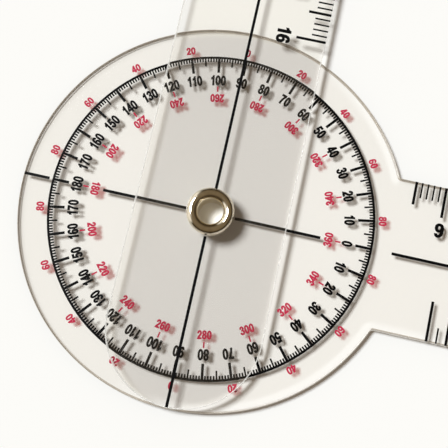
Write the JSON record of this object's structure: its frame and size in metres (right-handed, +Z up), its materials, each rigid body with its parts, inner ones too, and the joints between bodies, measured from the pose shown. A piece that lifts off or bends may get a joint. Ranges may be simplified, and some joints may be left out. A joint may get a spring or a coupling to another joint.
{
  "type": "angle finder with arms",
  "caption": "Clear plastic angle finder: a round dial plate with a fixed arm, a turning arm over it and a hollow rivet at the pivot, with degree, centimetre and inch scales.",
  "frame": {"origin": "on the rivet's axis, on the printed upper face of the dial plate", "axes": "+X along the fixed arm (the 0 degree direction), +Z up out of the printed faces, angles counter-clockwise about +Z; the turning arm rests at 90.4 degrees"},
  "size_m": [0.1592, 0.2247, 0.0051],
  "materials": {
    "clear_plastic": "clear, smooth and glossy, with polished faces and cut edges",
    "rivet_metal": "nickel-plated brass, polished, with a warm champagne tint",
    "black_ink": "thin screen-printed black ink",
    "red_ink": "thin screen-printed crimson ink"
  },
  "bodies": {
    "dial": {"dial_plate": "clear_plastic", "hollow_rivet": "rivet_metal", "degree_scale": "black_ink", "red_ticks": "red_ink", "base_line": "black_ink", "fixed_cm_scale": "black_ink", "fixed_inch_scale": "black_ink"},
    "arm": {"turning_arm": "clear_plastic", "index_line": "black_ink", "turning_cm_scale": "black_ink", "turning_inch_scale": "black_ink"}
  },
  "joints": [
    {"name": "arm_turn", "type": "hinge", "parent": "dial", "child": "arm", "pos_m": [0, 0, 0], "axis": [0, 0, 1], "continuous": true}
  ]
}
